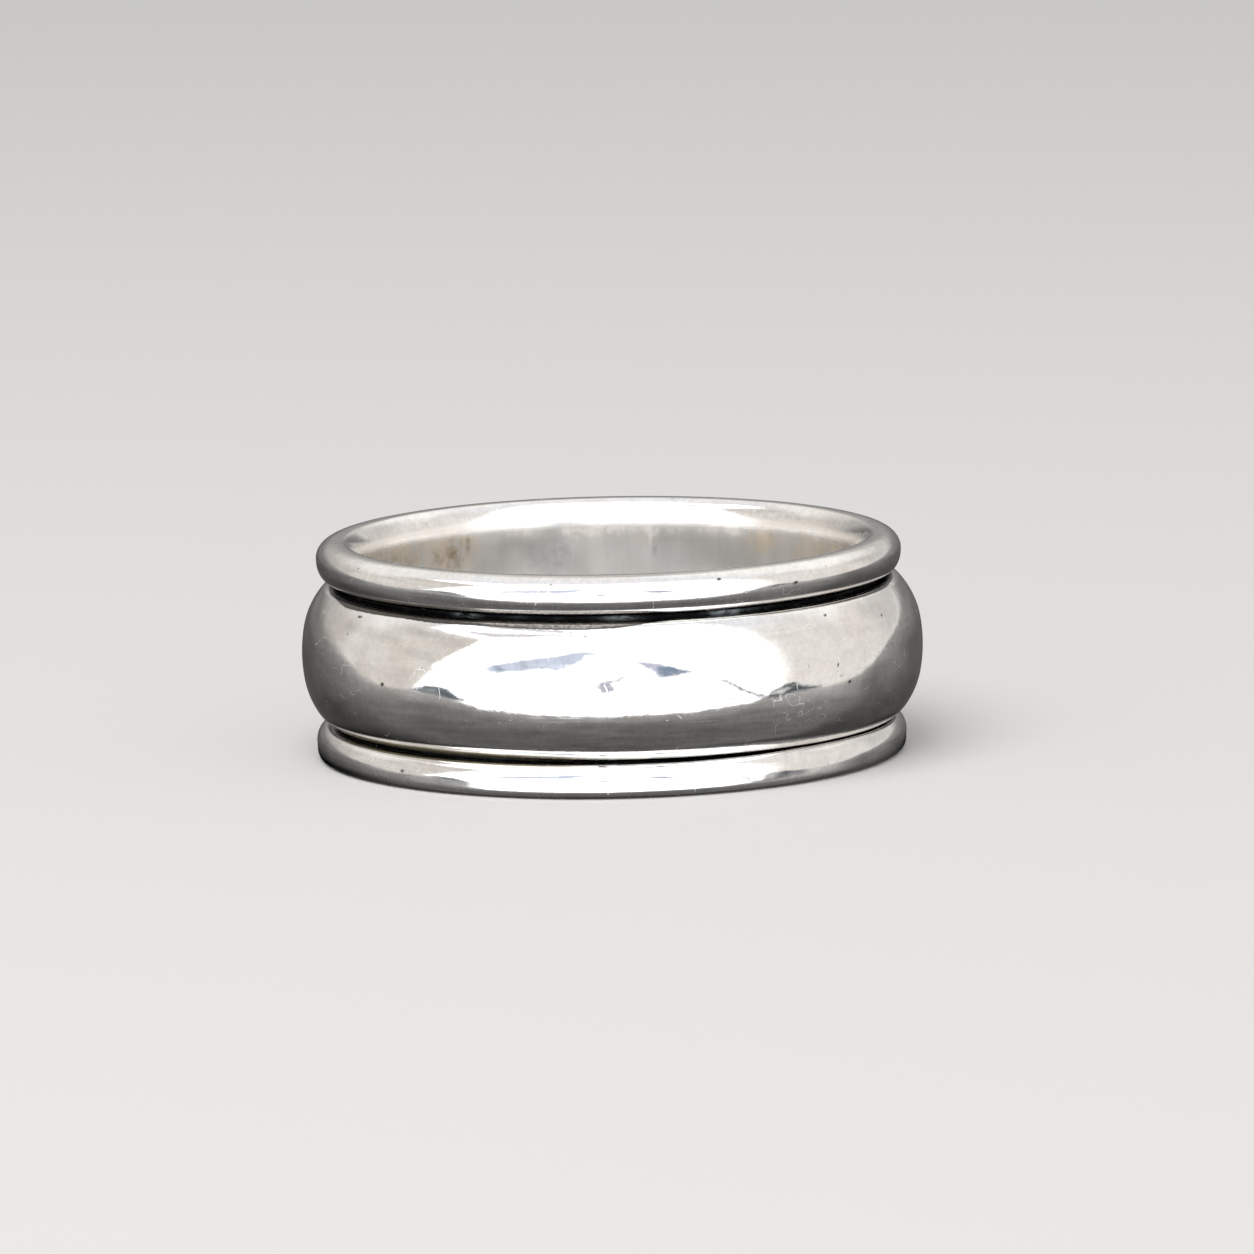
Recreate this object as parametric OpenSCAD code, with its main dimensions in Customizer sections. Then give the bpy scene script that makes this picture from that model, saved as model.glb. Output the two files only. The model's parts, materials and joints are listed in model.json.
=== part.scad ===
// Spinner ring: a sleeve with a rounded rim at each end, and a loose domed band that turns between the rims.
// The ring lies on its side. +Z runs along the finger hole, and Z = 0 is the surface under the lower rim.
// All sizes are millimetres.

/* [Sleeve] */
// Diameter of the finger hole
bore_d = 18.6; // [14:0.1:24]
// Height of the whole ring, along the finger hole
ring_w = 8.05; // [6:0.05:12]
// Thickness of the sleeve's wall between the rims
sleeve_t = 0.65; // [0.4:0.05:1]

/* [Rims] */
// Height of the upper rim, along the finger hole
upper_rim_h = 1.47; // [0.8:0.01:1.8]
// Height of the lower rim
lower_rim_h = 1.24; // [0.8:0.01:1.6]
// Radius of the round edges of a rim, beside the finger hole and up to the groove
rim_round = 0.66; // [0.61:0.01:0.78]
// Least depth that the groove's face cuts off a round edge
groove_cut = 0.01; // [0.005:0.005:0.05]
// Width of the flat between the round edges of the upper rim
upper_flat = 0.21; // [0.05:0.01:0.6]
// Radius of the tighter outer edge that the lower rim stands on
foot_round = 0.3; // [0.2:0.01:0.6]
// Width of the flat on the lower rim, which the ring rests on
lower_flat = 0.67; // [0.6:0.01:0.9]

/* [Loose band] */
// Free play of the loose band between the rims, along the finger hole
end_play = 0.26; // [0.1:0.01:1]
// Share of that play that is left under the band as the ring lies
low_share = 0.4; // [0.1:0.05:0.9]
// Free play between the loose band and the sleeve, on the radius
side_play = 0.2; // [0.05:0.01:0.4]
// Share of that play that the band has slid towards +X
slide_share = 0.4; // [0:0.05:0.8]
// Thickness of the loose band at the middle of its dome
band_t = 1.35; // [0.95:0.01:2.5]
// Thickness of the loose band where the dome ends
edge_t = 0.43; // [0.25:0.01:0.7]
// Radius of the flatter middle of the dome
crown_r = 5.5; // [5:0.1:8]
// Width of that flatter middle, along the finger hole
crown_w = 1.9; // [1:0.1:2.4]
// Width of the broken edges of the loose band
edge_break = 0.1; // [0.02:0.01:0.11]

/* [Hidden] */
round_fn = 256;

// Half of the finger hole, and the outside of the sleeve between the rims
bore_r = bore_d / 2;
sleeve_r = bore_r + sleeve_t;

// Outside of the lower rim, and the span that its full round edges have between their centres
foot_r = bore_r + rim_round + lower_flat + foot_round;
lower_span = foot_r - bore_r - 2 * rim_round;

// The groove between the rims, and where the loose band lies in it
groove_h = ring_w - upper_rim_h - lower_rim_h;
band_h = groove_h - end_play;
band_low = lower_rim_h + end_play * low_share;
band_mid = band_low + band_h / 2;
band_shift = side_play * slide_share;

// The loose band's inside, its crown and its edge, with heights measured from the band's middle
band_bore_r = sleeve_r + side_play;
band_r = band_bore_r + band_t;
edge_r = band_bore_r + edge_t;
crown_centre_r = band_r - crown_r;

// The crown ends at this angle, where a shoulder arc touches it and runs on to the band's edge
crown_angle = asin(crown_w / 2 / crown_r);
crown_way = [cos(crown_angle), sin(crown_angle)];
crown_end = [crown_centre_r, 0] + crown_r * crown_way;
crown_to_edge = [edge_r, band_h / 2] - crown_end;
shoulder_r = -(crown_to_edge * crown_to_edge) / (2 * crown_to_edge * crown_way);

// The shoulder stands this little proud of the crown's end, so that the two arcs cross cleanly
seam_lap = 0.0005;
shoulder_centre = crown_end - (shoulder_r - seam_lap) * crown_way;

// The outer edge is broken at half the slope that the shoulder has there
break_slope = asin((band_h / 2 - shoulder_centre[1]) / shoulder_r) / 2;
break_reach = band_t;
break_drop = break_reach * tan(break_slope);

// Section of one rim: two round edges with a span between their centres, cut level at the groove.
// A rim that is taller than its outer round edges has a plain wall between them.
module rim_section(span, height) {
    wall = height + groove_cut - 2 * rim_round;
    outer_centre = bore_r + rim_round + span;
    intersection() {
        union() {
            translate([bore_r + rim_round, rim_round]) circle(r = rim_round, $fn = round_fn);
            translate([outer_centre, rim_round]) circle(r = rim_round, $fn = round_fn);
            translate([bore_r + rim_round, 0]) square([span, height]);
            translate([bore_r, rim_round]) square([rim_round + span, height - rim_round]);
            if (wall > 0) {
                translate([outer_centre, rim_round]) square([rim_round, wall]);
                translate([outer_centre, rim_round + wall]) circle(r = rim_round, $fn = round_fn);
            }
        }
        translate([bore_r, 0]) square([2 * rim_round + span, height]);
    }
}

// Corner that fills the lower rim out to its foot, with a plain wall above the tighter edge
module foot_section() {
    translate([foot_r - foot_round, foot_round]) circle(r = foot_round, $fn = round_fn);
    translate([foot_r - rim_round, 0]) square([rim_round - foot_round, rim_round]);
    translate([foot_r - rim_round, foot_round]) square([rim_round, rim_round - foot_round]);
}

// Section of the sleeve between the centres of the rims' round edges
module sleeve_section() {
    translate([bore_r, rim_round]) square([sleeve_t, ring_w - 2 * rim_round]);
}

// Sleeve and both rims, soldered into one solid
module inner_band() {
    color("silver")
        rotate_extrude($fn = round_fn) {
            sleeve_section();
            rim_section(lower_span, lower_rim_h);
            foot_section();
            translate([0, ring_w]) mirror([0, 1]) rim_section(upper_flat, upper_rim_h);
        }
}

// Outline of the dome: the crown's arc in the middle, and a tighter arc over each shoulder
module dome_section() {
    intersection() {
        translate([crown_centre_r, 0]) circle(r = crown_r, $fn = round_fn);
        translate([crown_centre_r, -crown_end[1]]) square([crown_r * 2, crown_w]);
    }
    for (side = [0, 1])
        mirror([0, side])
            intersection() {
                translate(shoulder_centre) circle(r = shoulder_r, $fn = round_fn);
                translate([crown_centre_r, crown_end[1] / 2]) square([crown_r * 2, band_h]);
            }
}

// Section of the loose band: flat inside, domed outside, with all four edges broken
module band_section() {
    intersection() {
        dome_section();
        polygon([
            [band_bore_r, edge_break - band_h / 2],
            [band_bore_r + edge_break, -band_h / 2],
            [edge_r - edge_break, -band_h / 2],
            [edge_r - edge_break + break_reach, break_drop - band_h / 2],
            [edge_r - edge_break + break_reach, band_h / 2 - break_drop],
            [edge_r - edge_break, band_h / 2],
            [band_bore_r + edge_break, band_h / 2],
            [band_bore_r, band_h / 2 - edge_break]
        ]);
    }
}

// Loose domed band, slid a little to one side within its play
module spinner_band() {
    color("gainsboro")
        translate([band_shift, 0, band_mid])
            rotate_extrude($fn = round_fn) band_section();
}

inner_band();
spinner_band();
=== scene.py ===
import json
from functools import partial

import bpy
import numpy as np
from mathutils import Matrix, Vector


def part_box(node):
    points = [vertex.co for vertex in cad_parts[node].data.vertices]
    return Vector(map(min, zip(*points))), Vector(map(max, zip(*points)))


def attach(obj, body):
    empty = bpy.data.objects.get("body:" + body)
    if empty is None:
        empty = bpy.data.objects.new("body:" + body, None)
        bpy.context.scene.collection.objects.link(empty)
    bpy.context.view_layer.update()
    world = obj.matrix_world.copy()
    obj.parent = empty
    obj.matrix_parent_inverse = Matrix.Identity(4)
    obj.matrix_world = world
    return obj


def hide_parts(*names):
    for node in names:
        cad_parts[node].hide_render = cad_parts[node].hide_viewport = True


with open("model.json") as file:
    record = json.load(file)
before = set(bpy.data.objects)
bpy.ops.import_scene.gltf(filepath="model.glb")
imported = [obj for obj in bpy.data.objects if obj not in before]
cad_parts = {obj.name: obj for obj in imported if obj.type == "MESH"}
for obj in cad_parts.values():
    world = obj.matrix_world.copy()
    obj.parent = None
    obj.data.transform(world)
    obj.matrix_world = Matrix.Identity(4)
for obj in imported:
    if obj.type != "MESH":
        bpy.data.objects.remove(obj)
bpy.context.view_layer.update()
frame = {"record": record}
mm = 0.001  # every length below is in metres

# Spinner ring lying on its side. +Z runs along the finger hole, and Z = 0 is the floor.
# Both silver pieces are sections in a plane through the axis, carried once round it.
# A section's points are (radius, height), and a place on the metal is (turn in degrees, height in mm).
# Turn 0 is the side towards the camera, and +90 is towards +X.


def arcPoints(centre, radius, startDeg, endDeg, steps=160):
    # centre + radius * (cos, sin) of an angle that goes evenly from start to end
    angle = np.radians(np.linspace(startDeg, endDeg, steps + 1))
    return np.stack([centre[0] + radius * np.cos(angle), centre[1] + radius * np.sin(angle)], axis=1)


def linePoints(start, end, steps=200):
    # start * (1 - share) + end * share, with the share going evenly from 0 to 1
    share = np.linspace(0, 1, steps + 1)[:, None]
    return np.array(start) * (1 - share) + np.array(end) * share


def leaningPoints(start, leans, steps=200):
    # Goes on from start so that the outward normal's slope is piecewise linear in the length gone:
    # each step moves by (-sin, -cos) of the slope. A lean is (slope at its end in degrees, length)
    slopes, lengths = np.array(leans).T
    gone = np.linspace(0, lengths.sum(), steps + 1)
    slope = np.radians(np.interp(gone, np.cumsum(lengths), slopes))
    middle = (slope[1:] + slope[:-1]) / 2
    moves = -np.stack([np.sin(middle), np.cos(middle)], axis=1) * np.diff(gone)[:, None]
    return np.array(start) + np.concatenate([[(0, 0)], np.cumsum(moves, axis=0)])


def softRamp(value, soft):
    # 0 below -soft, the value itself above +soft, and (value + soft)^2 / (4 soft) in between
    return (np.clip(value, -soft, soft) + soft) ** 2 / (4 * soft) + np.maximum(value - soft, 0)


def smoothShare(value, low, high):
    # 0 below low, 1 above high, and 3t^2 - 2t^3 in between
    t = np.clip((value - low) / (high - low), 0, 1)
    return t * t * (3 - 2 * t)


def fadeOut(value, start, end):
    # 1 below start and 0 above end, by the same curve going down
    return smoothShare(-value, -end, -start)


def bellCurve(waves, width):
    # What a blur by a bell curve of this width leaves of each wave: exp(-2 (pi * waves * width)^2)
    return np.exp(-2 * (np.pi * waves * width) ** 2)


def byTurn(table, turn):
    # A table of (degrees, value) read at each turn, straight from line to line and joined at the back
    return np.interp(np.degrees(turn), *np.array(table).T, period=360)


def wornSection(runs, wear, rows, widestStep, bendStepDeg):
    # Joins the runs into one loop, rounds its corners by a bell curve as wide as the wear, and picks
    # rows of points from it. They lie as densely as 1 / widestStep + bend / bendStepDeg says
    fine = 6000  # even points round the loop, which the wear and the bends are worked out on
    tooClose = 1e-9  # metres between points of neighbouring runs that count as one
    evenness = 2 / 3  # how widely the steps are evened out, against the widest of them
    loop = np.concatenate([run[:-1] for run in runs])
    closed = np.concatenate([loop, loop[:1]])
    along = np.concatenate([[0], np.cumsum(np.hypot(*np.diff(closed, axis=0).T))])
    keep = np.concatenate([[True], np.diff(along) > tooClose])
    closed, along = closed[keep], along[keep]
    length = along[-1]
    even = np.arange(fine) / fine * length
    outline = np.stack([np.interp(even, along, closed[:, k]) for k in (0, 1)], axis=1)
    waves = np.fft.rfftfreq(fine, length / fine)
    outline = np.fft.irfft(np.fft.rfft(outline, axis=0) * bellCurve(waves, wear)[:, None], fine, axis=0)
    ahead = np.roll(outline, -1, axis=0) - outline
    bend = np.angle(np.exp(1j * np.diff(np.arctan2(ahead[:, 1], ahead[:, 0]), prepend=0)))
    bend[0] = bend[1]
    need = 1 / widestStep + np.abs(bend) / (length / fine) / np.radians(bendStepDeg)
    need = np.fft.irfft(np.fft.rfft(need) * bellCurve(waves, evenness * widestStep), fine)
    spent = np.concatenate([[0], np.cumsum(need)])
    ticks = np.arange(fine + 1) / fine * length
    places = np.interp(np.arange(rows) / rows * spent[-1], spent, ticks)
    wrap = np.concatenate([outline, outline[:1]])
    picked = np.stack([np.interp(places, ticks, wrap[:, k]) for k in (0, 1)], axis=1)
    return picked, places, length


def revolvedGrid(section, centreX, columns):
    # A point of the section (radius, height) goes to (centreX + radius * sin, -radius * cos, height)
    # of its turn. The seam is at the back.
    turn = (np.arange(columns) / columns - 0.5) * 2 * np.pi
    radius, height = section[:, :1], section[:, 1:]
    spots = np.stack([centreX + radius * np.sin(turn), -radius * np.cos(turn), height + 0 * turn], axis=2)
    step = np.roll(section, -1, axis=0) - np.roll(section, 1, axis=0)
    step /= np.hypot(*step.T)[:, None]
    outR, outZ = step[:, 1:], -step[:, :1]
    outward = np.stack([outR * np.sin(turn), -outR * np.cos(turn), outZ + 0 * turn], axis=2)
    return spots, outward, turn


def handWaves(turn, along, radius, wavelength, seed):
    # A sum of cosines with whole numbers of waves round the ring, brought to 0 to 1
    count = 40
    shortest, longest = 0.7, 2.2  # against the wavelength
    draw = np.random.default_rng(seed)
    heading = draw.uniform(-0.5 * np.pi, 0.5 * np.pi, count)
    length = wavelength * draw.uniform(shortest, longest, count)
    around = np.round(2 * np.pi * radius / length * np.cos(heading))[:, None, None]
    across = (2 * np.pi / length * np.sin(heading))[:, None, None]
    phase = draw.uniform(0, 2 * np.pi, count)[:, None, None]
    waves = np.cos(around * turn[None, None, :] + across * along[None, :, None] + phase).sum(axis=0)
    return (waves - waves.min()) / (waves.max() - waves.min())


def finishedByHand(piece, grid, along, radius, share):
    # point - outward * share * (depth * long waves + depth * short waves)
    spots, outward, turn = grid
    hollow = 0
    for title in ("longWaves", "shortWaves"):
        depth, wavelength, seed = piece[title]
        hollow = hollow + depth * handWaves(turn, along, radius, wavelength, seed)
    return spots - outward * (hollow * share[:, None])[:, :, None]


def moveInwards(spots, turn, distance):
    # x - distance * sin(turn) and y + distance * cos(turn)
    spots[:, :, 0] -= distance * np.sin(turn)
    spots[:, :, 1] += distance * np.cos(turn)


def ovalMarks(turn, section, marks):
    # Each mark is a soft oval round its place: strength * exp(-(aside / halfWide)^2 - (off / halfHigh)^2).
    # Where marks meet, the strongest counts
    turnDeg, height, halfWide, halfHigh, strength = np.array(marks).T[:, :, None, None]
    gap = np.angle(np.exp(1j * (turn[None, None, :] - np.radians(turnDeg))))
    aside = gap * section[None, :, None, 0] / (halfWide * mm)
    off = (section[None, :, None, 1] - height * mm) / (halfHigh * mm)
    return (strength * np.exp(-aside ** 2 - off ** 2)).max(axis=0)


def gridMesh(name, spots, closedRows):
    # Four-sided faces between neighbours. Columns run round and join up, and so do closed rows
    rows, columns = spots.shape[:2]
    faceRows = rows if closedRows else rows - 1
    row, column = np.meshgrid(np.arange(faceRows), np.arange(columns), indexing="ij")
    nextRow, nextColumn = (row + 1) % rows, (column + 1) % columns
    corners = [row * columns + column, row * columns + nextColumn,
               nextRow * columns + nextColumn, nextRow * columns + column]
    faces = np.stack(corners, axis=2).reshape(-1, len(corners))
    mesh = bpy.data.meshes.new(name)
    mesh.vertices.add(rows * columns)
    mesh.vertices.foreach_set("co", spots.astype(np.float32).ravel())
    mesh.loops.add(faces.size)
    mesh.loops.foreach_set("vertex_index", faces.astype(np.int32).ravel())
    mesh.polygons.add(len(faces))
    mesh.polygons.foreach_set("loop_start", np.arange(0, faces.size, len(corners), dtype=np.int32))
    mesh.polygons.foreach_set("use_smooth", np.ones(len(faces), dtype=bool))
    return mesh, row, column


def placed(mesh, material):
    # Puts the mesh into the scene, in this material and under its own name
    mesh.update(calc_edges=True)
    mesh.validate()
    mesh.materials.append(material)
    made = bpy.data.objects.new(mesh.name, mesh)
    bpy.context.scene.collection.objects.link(made)
    return made


def silverPiece(name, spots, lengths, shares, node, material):
    # The UV map is (share of a full turn, share of the section's length), and each share of a finish, of
    # painted light or of painted shade is an attribute of the points
    mesh, row, column = gridMesh(name, spots, True)
    places, length = lengths
    nextPlace = np.append(places[1:], length)
    u = np.stack([column, column + 1, column + 1, column], axis=2) / spots.shape[1]
    v = np.stack([places[row], places[row], nextPlace[row], nextPlace[row]], axis=2) / length
    layer = mesh.uv_layers.new(name="aroundAndAcross")
    layer.data.foreach_set("uv", np.stack([u, v], axis=3).astype(np.float32).ravel())
    for title, share in shares.items():
        values = np.broadcast_to(share, spots.shape[:2]).astype(np.float32)
        mesh.attributes.new(title, "FLOAT", "POINT").data.foreach_set("value", values.ravel())
    piece = placed(mesh, material)
    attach(piece, node)
    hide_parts(node)
    print("made", name, len(mesh.vertices), "points")


# Node helpers: each takes sockets or plain values, and gives back the socket of its result


def plug(tree, socket, value):
    # Links a socket, or sets a plain value
    if isinstance(value, bpy.types.NodeSocket):
        tree.links.new(value, socket)
    else:
        socket.default_value = value


def addNode(tree, kind, values=None, result=0, **settings):
    # Makes one node, and gives back one result of it, or all of them where result is None
    made = tree.nodes.new("ShaderNode" + kind)
    for setting, value in settings.items():
        setattr(made, setting, value)
    for socket, value in (values or {}).items():
        plug(tree, made.inputs[socket], value)
    return made.outputs if result is None else made.outputs[result]


def calc(tree, operation, first, second=0.0):
    # first + second, first * second and so on
    return addNode(tree, "Math", {0: first, 1: second}, operation=operation)


def ease(tree, value, low, high, start=0.0, end=1.0):
    # start where the value is low, end where it is high, and start + (end - start)(3t^2 - 2t^3) between
    return addNode(tree, "MapRange", {0: value, 1: low, 2: high, 3: start, 4: end},
                   interpolation_type="SMOOTHSTEP")


def blend(tree, share, first, second):
    # first * (1 - share) + second * share
    return addNode(tree, "Mix", {0: share, 2: first, 3: second})


def blendColours(tree, share, first, second, mode="MIX"):
    # The same for colours
    made = tree.nodes.new("ShaderNodeMix")
    made.data_type, made.blend_type = "RGBA", mode
    plug(tree, made.inputs[0], share)
    for socket, value in ((6, first), (7, second)):
        plug(tree, made.inputs[socket], value if isinstance(value, bpy.types.NodeSocket) else (*value, 1))
    return made.outputs[2]


def dimmed(tree, colour, tone):
    # colour * tone
    grey = addNode(tree, "CombineColor", {0: tone, 1: tone, 2: tone})
    return blendColours(tree, 1.0, colour, grey, mode="MULTIPLY")


def emptyMaterial(name):
    # A material whose nodes are still to come
    material = bpy.data.materials.new(name)
    material.use_nodes = True
    material.node_tree.nodes.clear()
    return material, material.node_tree


# Silver, as both pieces have it

silver = {
    "clean": (0.955, 0.945, 0.93),
    "film": (0.86, 0.79, 0.73),  # where a thin warm tarnish lies on it
    "grime": (0.085, 0.078, 0.072),
    # The groove between the parts is painted near-black as shade, with streaks and lighter bluish patches in
    # it
    "black": (0.010, 0.010, 0.011),
    "shadeStreakColour": (0.055, 0.06, 0.06),  # streaks where the groove's painted shade is a little less dark
    "bluishPatchColour": (0.48, 0.54, 0.57),
    "stripDark": (0.072, 0.066, 0.058),
    "stripPale": (0.38, 0.355, 0.335),
    "olive": (0.40, 0.37, 0.27),
    "bore": (0.74, 0.725, 0.70),
    # Of the finger hole's marks, the warm colour is painted warm light, the pale one painted highlights (the
    # bright lip too) and a few whitish flakes, the brown one stains and the dim one darker grey
    "boreWarm": (0.80, 0.715, 0.61),
    "boreBrown": (0.45, 0.36, 0.27),
    "boreDim": (0.575, 0.57, 0.57),
    "borePale": (0.95, 0.915, 0.87),
    # Roughness
    "polished": (0.105, 0.055),  # of the sleeve and of the loose band
    "hairlineRough": 0.25,
    "satin": (0.31, 0.43),  # least and most in the finger hole
    "scuffedRough": 0.34,
    "pitRough": 0.3,
    "scratchRough": 0.42,
    "stripRough": 0.2,
    "oliveRough": 0.3,
    "grimeRough": 0.35,
    "blackRough": 0.42,
    # Streaks round the ring: step along the turn, step across the metal, detail and shift
    "fineScratch": (2.5 * mm, 0.05 * mm, 3.0, 0.0),
    "broadScratch": (6 * mm, 0.22 * mm, 2.0, 5.0),
    # The next two streak the groove's painted shade and its lighter bluish patches
    "shadeStreaks": (0.9 * mm, 0.3 * mm, 3.0, 9.0),
    "bluishPatchStreaks": (0.5 * mm, 0.2 * mm, 3.0, 4.0),
    "streakRoughness": 0.6,
    # Stripes along the finger hole: waves to the metre on each axis, and detail
    "stripes": ((1100, 1100, 160), 4.0),
    # Even noises: step, detail and roughness
    "cloud": (2.4 * mm, 4.0, 0.55),
    "grain": (0.16 * mm, 2.0, 0.5),
    "toneLumps": (0.55 * mm, 3.0, 0.5),
    "dents": (0.45 * mm, 2.0, 0.5),
    "strayPath": (1.3 * mm, 1.5, 0.5),
    "strayBits": (1.0 * mm, 2.0, 0.5),
    "curlPath": (0.45 * mm, 1.0, 0.5),
    "markEdge": (0.3 * mm, 3.0, 0.5),
    # Dots, one in each cell: the cell, the luck from which they show, their largest size and soft edge
    "pits": (0.62 * mm, 0.45, 0.085, 0.035),
    "specks": (0.2 * mm, 0.5, 0.16, 0.07),
    # Where a finish, painted highlight or painted shade takes hold: a pattern's value at the start and at the
    # end, and what it gives there where that isn't 0 and 1
    "filmByCloud": (0.48, 0.72),
    "filmByScratch": (0.5, 0.72),
    "toneByLumps": (0.35, 0.65, 0.93, 1.0),
    "toneByGrain": (0.3, 0.7, 0.92, 1.0),
    "toneByScratch": (0.3, 0.7, 0.94, 1.0),
    "hairlineHold": (0.60, 0.74),
    "strayHold": (0.56, 0.65),
    "curlHold": (0.25, 0.6),
    "stripHold": (-0.01, 0.03),  # mm above the strip's border
    "stripPaling": (0.02, 0.1),
    "stripByGrain": (0.35, 0.62, 0.5, 1.0),
    "oliveHold": (0.25, 0.75),
    "markHold": (0.1, 0.75),
    "shadeByStripes": (0.3, 0.7, 0.88, 1.0),
    "satinByCloud": (0.3, 0.7),
    "grimeHold": (0.45, 0.95),
    "grimeReach": (0.02, 0.2),
    "shadeStreaksHold": (0.45, 0.72),
    "bluishPatchesHold": (0.35, 0.6),
    # Half width of the scratches, as a difference from a noise's middle: where they end and are full
    "strayWidth": (0.007, 0.002),
    "curlWidth": (0.03, 0.008),
    # How far the grain tears the edge of a finish
    "stripTear": 0.05,
    "oliveTear": 0.5,
    "markTear": 2.5,
    "grimeTear": 0.5,
    # How strong a finish gets
    "filmMost": 0.34,
    "pitGrime": 0.55,
    "speckTone": 0.66,
    "curlMost": 0.8,
    # The bumps' height, and what each pattern adds to it
    "bumpHeight": 0.0006 * mm,
    "bumps": {"fineScratch": 0.5, "broadScratch": 0.6, "grain": 1.5, "dents": 3.6, "pits": -6.0,
              "specks": -2.0, "stray": -1.6},
}


def silverMaterial(name, sectionLength, ofSleeve):
    # The finishes, painted highlights and painted shade are laid over each other in order: film, fine
    # scratches, pits, stray scratches, then the loose band's strip or the sleeve's finger hole with its
    # painted highlights, then grime, and last the groove's painted shade
    material, tree = emptyMaterial(name)
    sums = ("ADD", "SUBTRACT", "MULTIPLY", "MAXIMUM")
    plus, minus, times, larger = (partial(calc, tree, kind) for kind in sums)
    vector = partial(addNode, tree, "VectorMath")
    look = {"colour": silver["clean"], "rough": silver["polished"][0 if ofSleeve else 1]}

    def lay(share, colour=None, rough=None):
        # Lays a finish, a painted highlight or painted shade over the others in this share: its colour, its
        # roughness or both
        if colour is not None:
            look["colour"] = blendColours(tree, share, look["colour"], colour)
        if rough is not None:
            look["rough"] = blend(tree, share, look["rough"], rough)

    def shareOf(title):
        # A share that the mesh carries, and 0 on a piece that has none of that name
        return addNode(tree, "Attribute", attribute_name=title, result="Fac")

    def hold(pattern, title):
        # How far a finish has taken hold, or what it gives, at the pattern's value
        return ease(tree, pattern, *silver[title])

    def noiseAt(places, scale, detail, roughness):
        return addNode(tree, "TexNoise", {"Vector": places, "Scale": scale, "Detail": detail,
                                          "Roughness": roughness})

    def streaks(title):
        # Noise stretched round the ring: slow along the turn, quick across the metal
        around, acrossStep, detail, shift = silver[title]
        slow = vector({0: flat, "Scale": 1 / around}, operation="SCALE")
        quick = vector({0: lift, "Scale": 1 / acrossStep}, operation="SCALE")
        both = vector({0: slow, 1: quick}, operation="ADD")
        moved = vector({0: both, 1: (shift, 2 * shift, 3 * shift)}, operation="ADD")
        return noiseAt(moved, 1.0, detail, silver["streakRoughness"])

    def noise(title):
        # Even noise, with its largest lumps about one step apart
        step, detail, roughness = silver[title]
        return noiseAt(place, 1 / step, detail, roughness)

    def dots(title):
        # Every cell has a dot with a size of its own, and most are too small to show
        cellSize, leastLuck, largest, soft = silver[title]
        cell = addNode(tree, "TexVoronoi", {"Vector": place, "Scale": 1 / cellSize, "Randomness": 1.0}, None)
        luck = addNode(tree, "SeparateColor", {0: cell["Color"]})
        size = ease(tree, luck, leastLuck, 1.0, 0.0, largest)
        return times(ease(tree, minus(size, cell["Distance"]), 0.0, soft), outside)

    def lines(path, width):
        # Thin lines where a noise is close to its middle
        return hold(calc(tree, "ABSOLUTE", minus(noise(path), 0.5)), width)

    def torn(share, tear):
        # share + (grain - 0.5) * tear
        return plus(share, times(minus(grain, 0.5), silver[tear]))

    place = addNode(tree, "TexCoord", result="Object")
    across = addNode(tree, "SeparateXYZ", {0: addNode(tree, "UVMap", uv_map="aroundAndAcross")}, result=1)
    flat = vector({0: place, 1: (1, 1, 0)}, operation="MULTIPLY")
    lift = addNode(tree, "CombineXYZ", {2: times(across, sectionLength)})
    inside = shareOf("boreShare") if ofSleeve else 0.0
    outside = minus(1.0, inside)
    fineScratch, broadScratch = streaks("fineScratch"), streaks("broadScratch")
    cloud, grain = noise("cloud"), noise("grain")
    pits, specks = dots("pits"), dots("specks")

    film = larger(hold(cloud, "filmByCloud"), hold(broadScratch, "filmByScratch"))
    lay(times(film, silver["filmMost"]), silver["film"])
    tone = times(hold(noise("toneLumps"), "toneByLumps"), hold(grain, "toneByGrain"))
    tone = times(tone, hold(broadScratch, "toneByScratch"))
    tone = times(tone, blend(tree, specks, 1.0, silver["speckTone"]))
    look["colour"] = dimmed(tree, look["colour"], tone)
    lay(hold(fineScratch, "hairlineHold"), rough=silver["hairlineRough"])
    lay(times(pits, silver["pitGrime"]), silver["grime"])
    lay(pits, rough=silver["pitRough"])

    # Stray scratches are only bits of their lines
    stray = times(lines("strayPath", "strayWidth"), hold(noise("strayBits"), "strayHold"))
    stray = times(stray, outside)
    if not ofSleeve:
        tangle = plus(shareOf("tangleShare"), minus(cloud, 0.5))
        curls = times(lines("curlPath", "curlWidth"), hold(tangle, "curlHold"))
        stray = larger(stray, times(curls, silver["curlMost"]))
    lay(stray, rough=silver["scratchRough"])
    lay(specks, rough=silver["scratchRough"])

    if ofSleeve:
        perAxis, detail = silver["stripes"]
        axial = vector({0: place, 1: perAxis}, operation="MULTIPLY")
        stripes = noiseAt(axial, 1.0, detail, silver["streakRoughness"])
        # On the finger hole the warm marks are painted warm light, the pale ones painted highlights and a few
        # whitish flakes, the brown ones stains and the dim ones darker grey
        # A mark's share is torn by (stripes + noise - 1) * tear, in proportion to the share itself
        unevenness = minus(plus(stripes, noise("markEdge")), 1.0)
        tearing = plus(times(unevenness, silver["markTear"]), 1.0)
        wall = silver["bore"]
        for stainAndLight in ("Warm", "Dim", "Brown", "Pale"):
            share = hold(times(shareOf(stainAndLight.lower() + "Share"), tearing), "markHold")
            wall = blendColours(tree, share, wall, silver["bore" + stainAndLight])
        wall = dimmed(tree, wall, hold(stripes, "shadeByStripes"))
        lay(inside, wall, ease(tree, cloud, *silver["satinByCloud"], *silver["satin"]))
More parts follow.
